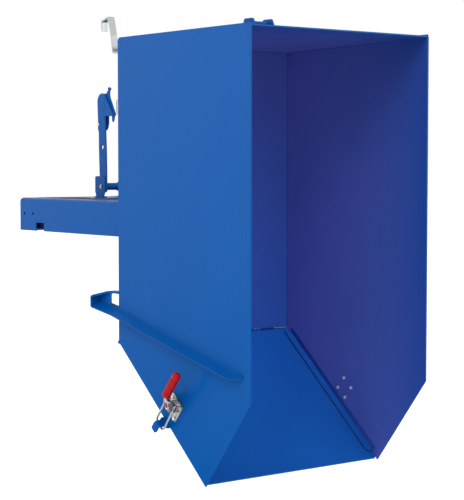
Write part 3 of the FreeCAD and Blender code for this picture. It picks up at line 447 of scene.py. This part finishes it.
RIPPLE = 2.4 * MM
INNER_X = WALL_HIGH.x
OUTER_X = WALL_LOW.x
TOP_Z = WALL_HIGH.z
FLOOR_Y = FLOOR_HIGH.y
OPEN_Y = WALL_LOW.y
X = Vector((1, 0, 0))


def weld_piece(name, lines, radius, body="container"):
    """Several beads in one piece."""
    maker = bmesh.new()
    for start, end in lines:
        bead(maker, Vector(start), Vector(end), radius)
    return add_piece(name, maker, WELD_BLUE, body)


# Seams inside and outside the container's corners.
HINGE_Z = FLAP_HINGE.z
INSIDE_FLOOR = FLOOR_LOW.y
REAR_INSIDE_FAR = REAR_LOW.z
REAR_FALL = 13 * MM
REAR_INSIDE_NEAR = REAR_LOW.z + REAR_FALL
SEAM_FOOT = HINGE_Z + 0.012
SEAM_MOUTH = OPEN_Y + 0.004
seams = []
for side in (-1, 1):
    x = side * abs(INNER_X)
    seams.append(((x, INSIDE_FLOOR, SEAM_FOOT), (x, INSIDE_FLOOR, REAR_INSIDE_FAR)))
    seams.append(((x, SEAM_MOUTH, REAR_INSIDE_NEAR), (x, INSIDE_FLOOR, REAR_INSIDE_FAR)))
seams.append(((INNER_X, INSIDE_FLOOR, REAR_INSIDE_FAR), (-INNER_X, INSIDE_FLOOR, REAR_INSIDE_FAR)))
weld_piece("inner_seams", seams, 2.2 * MM)
outer_seams = []
SEAM_TOP = REAR_HIGH.z - REAR_FALL
for side in (-1, 1):
    x = side * abs(INNER_X)
    outer_seams.append(((x, FLOOR_Y + 0.0005, SEAM_FOOT), (x, FLOOR_Y + 0.0005, SEAM_TOP)))
    outer_seams.append(((x, SEAM_MOUTH, REAR_HIGH.z), (x, FLOOR_Y - 0.001, SEAM_TOP)))
weld_piece("outer_seams", outer_seams, 1.8 * MM)

# Ribs to the side walls.
RIB_DROP = 1053 * MM
RIB_RUN = 780 * MM
RIB_SLOPE = math.tan(math.radians(12.54))
rib_lines = []
for side in (-1, 1):
    x = side * (abs(OUTER_X) + 0.0005)
    for lift in (0.001, -0.0055):
        start = (x, WALL_HIGH.y - 0.004, TOP_Z - RIB_DROP + lift)
        end = (x, WALL_HIGH.y - RIB_RUN, TOP_Z - RIB_DROP - RIB_RUN * RIB_SLOPE + lift)
        rib_lines.append((start, end))
weld_piece("rib_welds", rib_lines, 2.0 * MM)

# Lugs to the rear wall, ears to the floor, feet to the deck, cross members to the pockets.
lug_lines = []
LUG_SIDES = (42 * MM, 50 * MM)
for side in (-1, 1):
    for x in LUG_SIDES:
        start = (side * x, LUGS_LOW.y + 0.002, LUGS_LOW.z + 0.0025)
        end = (side * x, LUGS_HIGH.y - 0.002, LUGS_LOW.z + 0.0005)
        lug_lines.append((start, end))
weld_piece("lug_welds", lug_lines, 2.6 * MM)
EARS_LOW, EARS_HIGH = corners("hinge_ears")
ear_lines = []
EAR_THICK = 0.010
for side in (-1, 1):
    for x in (abs(EARS_HIGH.x), abs(EARS_HIGH.x) - EAR_THICK):
        start = (side * x, FLOOR_Y, EARS_LOW.z + 0.004)
        end = (side * x, FLOOR_Y, EARS_HIGH.z - 0.004)
        ear_lines.append((start, end))
weld_piece("ear_welds", ear_lines, 2.4 * MM)
CROSS_LOW, CROSS_HIGH = corners("front_cross_member")
DECK_LOW, DECK_HIGH = corners("latch_deck")
REARX_LOW, REARX_HIGH = corners("rear_cross_member")
frame_lines = []
for side in (-1, 1):
    x = side * (abs(CROSS_HIGH.x) - 0.001)
    for y in (CROSS_LOW.y, CROSS_HIGH.y):
        frame_lines.append(((x, y, CROSS_LOW.z + 0.006), (x, y, CROSS_HIGH.z - 0.006)))
    frame_lines.append(((x, DECK_LOW.y, DECK_HIGH.z), (x, DECK_HIGH.y, DECK_HIGH.z)))
    frame_lines.append(((x, REARX_LOW.y, REARX_LOW.z + 0.010), (x, REARX_LOW.y, REARX_HIGH.z - 0.010)))
weld_piece("frame_welds", frame_lines, 2.4 * MM, "fork_frame")
feet = []
for x in (BRACKET_LOW.x, BRACKET_LOW.x + 0.025, BRACKET_HIGH.x - 0.020, BRACKET_HIGH.x):
    start = (x, BRACKET_LOW.y + 0.010, DECK_HIGH.z + 0.001)
    end = (x, BRACKET_HIGH.y - 0.004, DECK_HIGH.z + 0.001)
    feet.append((start, end))
weld_piece("bracket_welds", feet, 1.8 * MM, "fork_frame")
TUBE_R = 16 * MM
POST_HALF = 4 * MM
maker = bmesh.new()
loop = []
for k in range(25):
    angle = 2 * math.pi * k / 24
    loop.append(LATCH + Vector((POST_HALF, TUBE_R * math.cos(angle), TUBE_R * math.sin(angle))))
wire(maker, loop, 1.9 * MM)
add_piece("tube_weld", maker, WELD_BLUE, "latch")

# Weld caps over the hinge rod's ends.
maker = bmesh.new()
for side in (-1, 1):
    tip = Vector((side * abs(OUTER_X), FLAP_HINGE.y, FLAP_HINGE.z))
    lathe(maker, tip, X * side, [(-1.0, 6.0), (0.0, 6.2), (1.2, 5.6), (2.2, 4.0), (2.7, 1.8)], 20)
add_piece("hinge_rod_welds", maker, WELD_BLUE, "container")

# Split pin through the latch pivot's free end.
PIN_X = BRACKET_LOW.x + 0.0008
maker = bmesh.new()
pin_points = []
for k in range(13):
    angle = math.pi * k / 12
    pin_points.append(Vector((PIN_X, LATCH.y + 2.2 * MM * math.cos(angle),
                              LATCH.z + 8.0 * MM + 2.6 * MM * math.sin(angle))))
leg_a = [Vector((PIN_X, LATCH.y + 0.8 * MM, LATCH.z + z * MM)) for z in (-9.0, 0.0, 6.5)]
leg_b = [Vector((PIN_X, LATCH.y - 0.8 * MM, LATCH.z + z * MM)) for z in (6.5, 0.0, -7.0)]
leg_b.append(Vector((PIN_X - 0.002, LATCH.y - 4.0 * MM, LATCH.z - 11.0 * MM)))
PIN_LEAN = 50
lean = Matrix.Rotation(math.radians(PIN_LEAN), 3, "X")
hub = Vector((PIN_X, LATCH.y, LATCH.z))
wire(maker, [hub + lean @ (point - hub) for point in leg_a + pin_points + leg_b], 1.1 * MM)
add_piece("split_pin", maker, ZINC, "fork_frame")

# Painted rivets inside the right wall, near the floor's upper corner.
maker = bmesh.new()
for back in (16, 33):
    for drop in (34, 72):
        place = Vector((-INNER_X, WALL_HIGH.y - back * MM, TOP_Z - drop * MM))
        lathe(maker, place, -X, [(-0.5, 3.4), (0.4, 3.3), (1.2, 2.6), (1.6, 1.2)], 16)
add_piece("wall_rivets", maker, WELD_BLUE, "container")

# Staple behind the floor that guides the release rope.
STAPLE_X = OUTER_X + 0.010
STAPLE_BEND = 20 * MM
STAPLE_TOP = TOP_Z - 241 * MM
STAPLE_FOOT = TOP_Z - 291 * MM
STAPLE_CORNER = 6 * MM
maker = bmesh.new()
staple = [Vector((STAPLE_X, FLOOR_Y - 0.001, STAPLE_TOP))]
for k in range(7):
    angle = math.pi / 2 * k / 6
    staple.append(Vector((STAPLE_X, FLOOR_Y + STAPLE_BEND + STAPLE_CORNER * math.sin(angle),
                          STAPLE_TOP - STAPLE_CORNER * (1 - math.cos(angle)))))
for k in range(7):
    angle = math.pi / 2 * k / 6
    staple.append(Vector((STAPLE_X, FLOOR_Y + STAPLE_BEND + STAPLE_CORNER * math.cos(angle),
                          STAPLE_FOOT + STAPLE_CORNER * (1 - math.sin(angle)))))
staple.append(Vector((STAPLE_X, FLOOR_Y - 0.001, STAPLE_FOOT)))
wire(maker, staple, 2.6 * MM, 10)
add_piece("rope_staple", maker, STRAP, "container")

# Anti-slip strips on top of the fork pockets, with clipped corners.
GRIT_THICK = 0.7 * MM
GRIT_NEAR = 64 * MM
GRIT_FAR = 16 * MM
GRIT_CLIP = 10 * MM
maker = bmesh.new()
for side in (-1, 1):
    near, far = abs(POCKET_LOW.x) - GRIT_NEAR, abs(POCKET_HIGH.x) + GRIT_FAR
    front, rear = POCKET_LOW.y + 0.030, POCKET_HIGH.y - 0.030
    outline = [(near, front + GRIT_CLIP), (near - GRIT_CLIP, front), (far + GRIT_CLIP, front),
               (far, front + GRIT_CLIP), (far, rear - GRIT_CLIP), (far + GRIT_CLIP, rear),
               (near - GRIT_CLIP, rear), (near, rear - GRIT_CLIP)]
    rings = [[maker.verts.new((side * x, y, POCKET_HIGH.z + lift)) for x, y in outline]
             for lift in (-0.0002, GRIT_THICK)]
    skin(maker, rings)
add_piece("antislip_strips", maker, GRIT, "fork_frame", False)

# Ribbed grips and threaded bail legs of both clamps.
ALONG = Vector(JOINTS["handle_left_swing"]["axis"])
OUTWARD = Vector((0, -ALONG.z, ALONG.y))
PIVOT_U, PIVOT_W = -14.0, 36.0
GRIP_START, GRIP_LENGTH, GRIP_R, GRIP_W = -75.0, 119.0, 16.5, 72.0
GROOVE_PITCH, GROOVE_DEPTH = 5.6, 1.5
BAIL_HALF, BAIL_W, BAIL_DROP = 28.5, 30.0, 3.0
BAIL_REACH = 121
THREAD_PITCH, THREAD_ROOT, THREAD_CREST = 1.5, 3.98, 4.22
THREAD_FROM, THREAD_TO, THREAD_LENGTH = -47.0, 20.0, 67.0


def clamp_point(side, u, t, w):
    """A place in a clamp's axes, in mm towards the flap, down the flap and out from the wall."""
    pivot = Vector(JOINTS["handle_" + side + "_swing"]["pos_m"])
    way = -1 if side == "left" else 1
    return pivot + OUTWARD * (u - PIVOT_U) * MM + ALONG * t * MM + X * way * (w - PIVOT_W) * MM


def grip_profile():
    """Lip, grooves and domed end of a grip."""
    profile = [(0.0, 12.0), (0.4, GRIP_R - 1.0), (2.0, GRIP_R), (7.0, GRIP_R)]
    groove = 9.0
    while groove < GRIP_LENGTH - GRIP_R - 4.0:
        profile += [(groove, GRIP_R - 0.2), (groove + 0.9, GRIP_R - GROOVE_DEPTH),
                    (groove + 1.9, GRIP_R - GROOVE_DEPTH), (groove + 2.8, GRIP_R - 0.2)]
        groove += GROOVE_PITCH
    for k in range(10):
        angle = math.radians(9.6 * k)
        profile.append((GRIP_LENGTH - GRIP_R + GRIP_R * math.sin(angle), GRIP_R * math.cos(angle)))
    return profile


def thread_profile(length):
    """Crests and roots of a screw thread."""
    profile = [(0.0, THREAD_ROOT)]
    for k in range(int(length / THREAD_PITCH)):
        profile += [((k + 0.5) * THREAD_PITCH, THREAD_CREST), ((k + 1) * THREAD_PITCH, THREAD_ROOT)]
    return profile


for side in ("left", "right"):
    maker = bmesh.new()
    lathe(maker, clamp_point(side, GRIP_START, 0, GRIP_W), -OUTWARD, grip_profile(), 32)
    grip = add_piece("ribbed_grip_" + side, maker, RED, "clamp_handle_" + side)
    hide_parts("clamp_grip_" + side)
    maker = bmesh.new()
    for half in (-BAIL_HALF, BAIL_HALF):
        start = clamp_point(side, THREAD_FROM, half, BAIL_W + BAIL_DROP * 17 / BAIL_REACH)
        end = clamp_point(side, THREAD_TO, half, BAIL_W - BAIL_DROP * 50 / BAIL_REACH)
        axis = (end - start).normalized()
        lathe(maker, start, axis, thread_profile(THREAD_LENGTH), 16)
    add_piece("bail_threads_" + side, maker, ZINC, "clamp_bail_" + side)

# ---------------------------------------------------------------- stage, camera, light
def sheet(name, size, z):
    """A flat floor of the studio."""
    mesh = bpy.data.meshes.new(name)
    maker = bmesh.new()
    bmesh.ops.create_grid(maker, x_segments=8, y_segments=8, size=size)
    maker.to_mesh(mesh)
    maker.free()
    made = bpy.data.objects.new(name, mesh)
    made.location.z = z
    scene.collection.objects.link(made)
    return made


pale = Nodes("pale_floor")
pale.set("Base Color", (0.93, 0.93, 0.93, 1.0))
pale.set("Roughness", 0.85)
pale.set("Emission Color", (1.0, 1.0, 1.0, 1.0))
pale.set("Emission Strength", 0.25)
FLOOR_HALF = 40.0
FLOOR_GAP = 0.30
floor = sheet("studio_floor", FLOOR_HALF, CAD_LOW.z - FLOOR_GAP)
floor.data.materials.append(pale.material)

camera_data = bpy.data.cameras.new("camera")
camera_data.lens = 109.62
camera_data.sensor_width = 36.0
camera_data.clip_end = 200.0
camera = bpy.data.objects.new("camera", camera_data)
camera.location = (-3.6705, -5.9226, 0.1663)
camera.rotation_euler = (math.radians(86.656), 0.0, math.radians(-37.375))
scene.collection.objects.link(camera)
scene.camera = camera

world = bpy.data.worlds.new("studio")
world.use_nodes = True
world.node_tree.nodes["Background"].inputs[0].default_value = (1.0, 1.0, 1.0, 1.0)
world.node_tree.nodes["Background"].inputs[1].default_value = 1.0
scene.world = world
scene.view_settings.view_transform = "Standard"


def softbox(name, place, target, size, power):
    """A rectangular lamp aimed at a point."""
    data = bpy.data.lights.new(name, "AREA")
    data.shape = "RECTANGLE"
    data.size, data.size_y = size
    data.energy = power
    lamp = bpy.data.objects.new(name, data)
    lamp.location = place
    aim = Vector(target) - Vector(place)
    lamp.rotation_euler = aim.to_track_quat("-Z", "Y").to_euler()
    scene.collection.objects.link(lamp)


softbox("key_light", (-4.5, -3.5, 3.4), (0.0, -1.2, 0.0), (3.0, 2.2), 130.0)
softbox("fill_light", (3.5, -5.0, 1.2), (0.0, -1.2, -0.2), (2.5, 2.5), 30.0)
